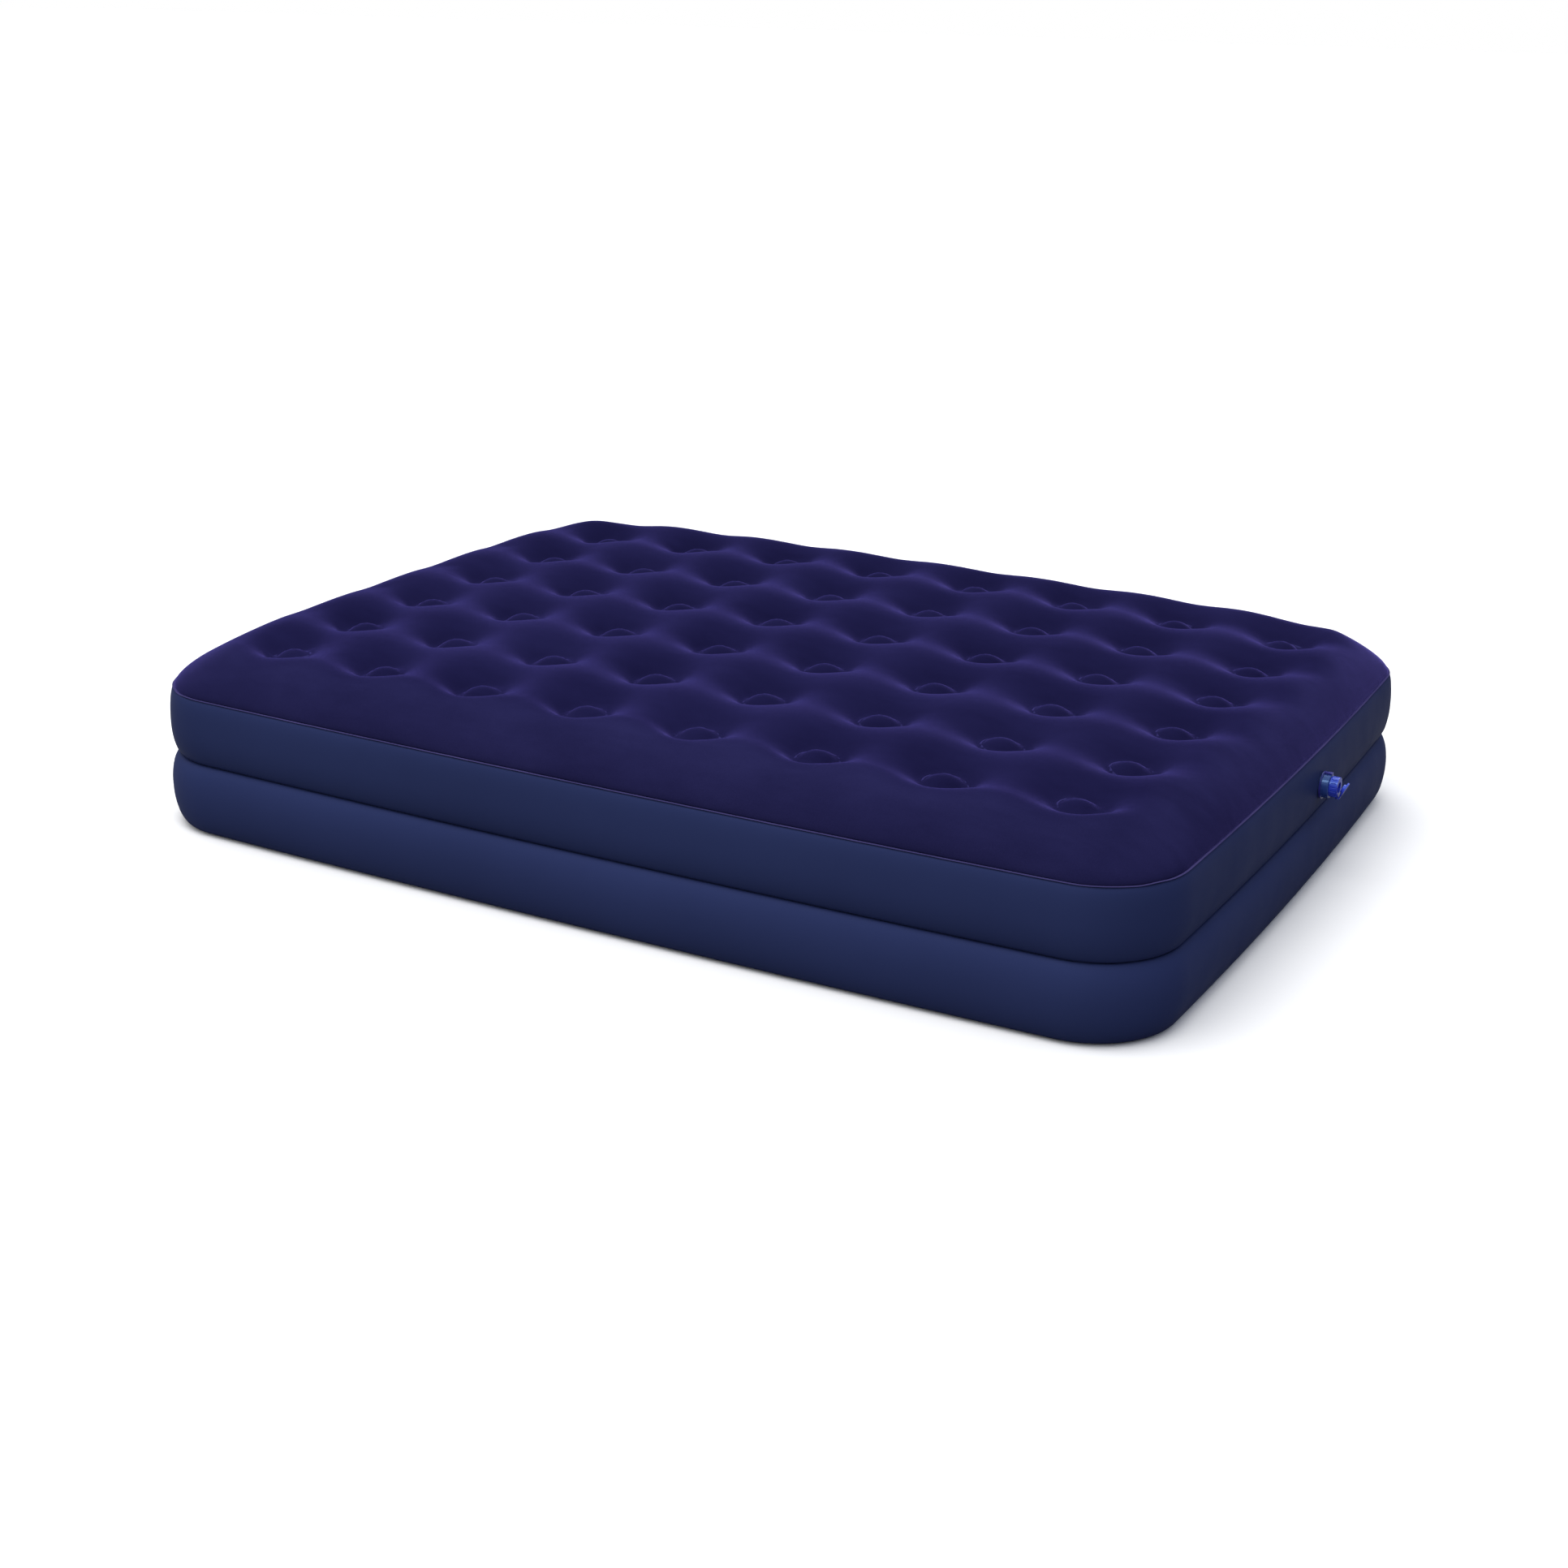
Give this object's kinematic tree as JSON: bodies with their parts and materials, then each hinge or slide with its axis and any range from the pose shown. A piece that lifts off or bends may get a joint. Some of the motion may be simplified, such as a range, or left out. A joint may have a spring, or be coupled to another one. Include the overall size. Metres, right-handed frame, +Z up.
{
  "type": "air mattress",
  "caption": "Two-tier inflatable double bed with a flocked dimpled top, smooth vinyl side walls and a push-in air valve with a hinged lid on one end.",
  "frame": {"origin": "middle of the bed's underside, on the floor; the valve stands out past the +X end and isn't counted", "axes": "+X along the length towards the valve end, +Y across the width, +Z up"},
  "size_m": [2.0743, 1.52, 0.358],
  "materials": {
    "flocked_top": "matt velvet flocking with a soft sheen at grazing angles",
    "seam_edge": "flattened, welded flocked edge",
    "wall_vinyl": "smooth satin vinyl film",
    "base_vinyl": "satin vinyl film, a little heavier",
    "inner_vinyl": "plain vinyl film, inside the bed",
    "valve_clear": "clear blue soft vinyl moulding",
    "valve_blue": "glossy translucent blue moulding",
    "valve_tether": "translucent violet-blue soft strap",
    "flap_film": "milky soft film"
  },
  "bodies": {
    "base": {"bottom_sheet": "base_vinyl", "bottom_seam_flange": "base_vinyl", "lower_side_wall": "wall_vinyl", "upper_side_wall": "wall_vinyl", "lower_coil_beams_row_1": "inner_vinyl", "lower_coil_beams_row_2": "inner_vinyl", "lower_coil_beams_row_3": "inner_vinyl", "lower_coil_beams_row_4": "inner_vinyl", "lower_coil_beams_row_5": "inner_vinyl", "lower_coil_beams_row_6": "inner_vinyl", "upper_coil_beams_row_1": "inner_vinyl", "upper_coil_beams_row_2": "inner_vinyl", "upper_coil_beams_row_3": "inner_vinyl", "upper_coil_beams_row_4": "inner_vinyl", "upper_coil_beams_row_5": "inner_vinyl", "upper_coil_beams_row_6": "inner_vinyl"},
    "waist": {"middle_sheet": "inner_vinyl", "waist_seam": "wall_vinyl"},
    "top": {"top_sheet": "flocked_top", "top_seam_flange": "seam_edge"},
    "valve_mount": {"valve_base": "valve_clear", "plug_tether": "valve_tether"},
    "plug": {"valve_plug": "valve_blue"},
    "flap": {"check_flap": "flap_film"},
    "lid": {"valve_lid": "valve_blue", "lid_strap": "valve_blue"}
  },
  "joints": [
    {"name": "deflate", "type": "slide", "parent": "base", "child": "top", "axis": [0, 0, 1], "range_m": [-0.208, 0], "stiffness_N_per_m": 15000, "deforming": ["lower_side_wall", "upper_side_wall", "lower_coil_beams_row_1", "lower_coil_beams_row_2", "lower_coil_beams_row_3", "lower_coil_beams_row_4", "lower_coil_beams_row_5", "lower_coil_beams_row_6", "upper_coil_beams_row_1", "upper_coil_beams_row_2", "upper_coil_beams_row_3", "upper_coil_beams_row_4", "upper_coil_beams_row_5", "upper_coil_beams_row_6"]},
    {"name": "waist_sink", "type": "slide", "parent": "base", "child": "waist", "axis": [0, 0, 1], "range_m": [-0.0957, 0]},
    {"name": "valve_sink", "type": "slide", "parent": "base", "child": "valve_mount", "axis": [0, 0, 1], "range_m": [-0.1165, 0]},
    {"name": "plug_pull", "type": "slide", "parent": "valve_mount", "child": "plug", "axis": [1, 0, 0], "range_m": [0, 0.03]},
    {"name": "flap_swing", "type": "hinge", "parent": "plug", "child": "flap", "pos_m": [1.02028, 0.085, 0.2125], "axis": [0, 1, 0], "range_deg": [0, 35], "stiffness_Nm_per_rad": 0.002},
    {"name": "lid_swing", "type": "hinge", "parent": "plug", "child": "lid", "pos_m": [1.04388, 0.085, 0.1805], "axis": [0, 1, 0], "range_deg": [-25, 100]}
  ],
  "couplings": [
    {"joint": "waist_sink", "follows": "deflate", "ratio": 0.46},
    {"joint": "valve_sink", "follows": "deflate", "ratio": 0.56}
  ]
}
